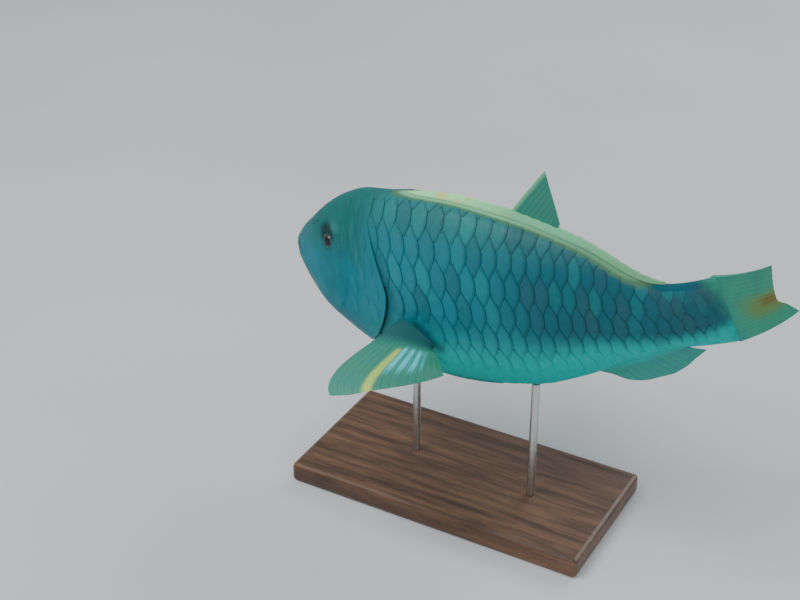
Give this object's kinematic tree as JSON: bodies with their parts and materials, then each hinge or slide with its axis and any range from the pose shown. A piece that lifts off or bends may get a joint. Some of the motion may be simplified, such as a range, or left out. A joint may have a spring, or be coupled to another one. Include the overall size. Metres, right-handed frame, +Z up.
{
  "type": "parrotfish museum model on a display stand",
  "caption": "Life-size still model of a swimming parrotfish with large scales, a beak, folded back fin and spread breast fins, on a flat base with rods.",
  "frame": {"origin": "centre of the underside of the stand's base", "axes": "+X from the head towards the tail, +Y towards the fish's right, +Z up"},
  "size_m": [0.3664, 0.2204, 0.2734],
  "materials": {
    "scaled_skin": "satin slate-teal scales with dark teal edges, paler turquoise on the belly",
    "head_skin": "satin grey-green skin, bluer on the cheek and chin",
    "fin_web": "satin, slightly translucent pale grey-green web with fine rays, yellowish at the edges",
    "eye": "polished, black pupil in a copper ring",
    "beak": "satin off-white",
    "stand_wood": "satin dark walnut",
    "stand_steel": "brushed"
  },
  "bodies": {
    "root": {"head": "head_skin", "torso": "scaled_skin", "tail_peduncle": "scaled_skin", "dorsal_fin": "fin_web", "caudal_fin": "fin_web", "anal_fin": "fin_web", "pectoral_fin_left": "fin_web", "pectoral_fin_right": "fin_web", "pelvic_fin_left": "fin_web", "pelvic_fin_right": "fin_web", "eye_left": "eye", "eye_right": "eye", "beak_upper": "beak", "beak_lower": "beak", "stand_base": "stand_wood", "stand_rod_front": "stand_steel", "stand_rod_rear": "stand_steel"}
  },
  "joints": []
}
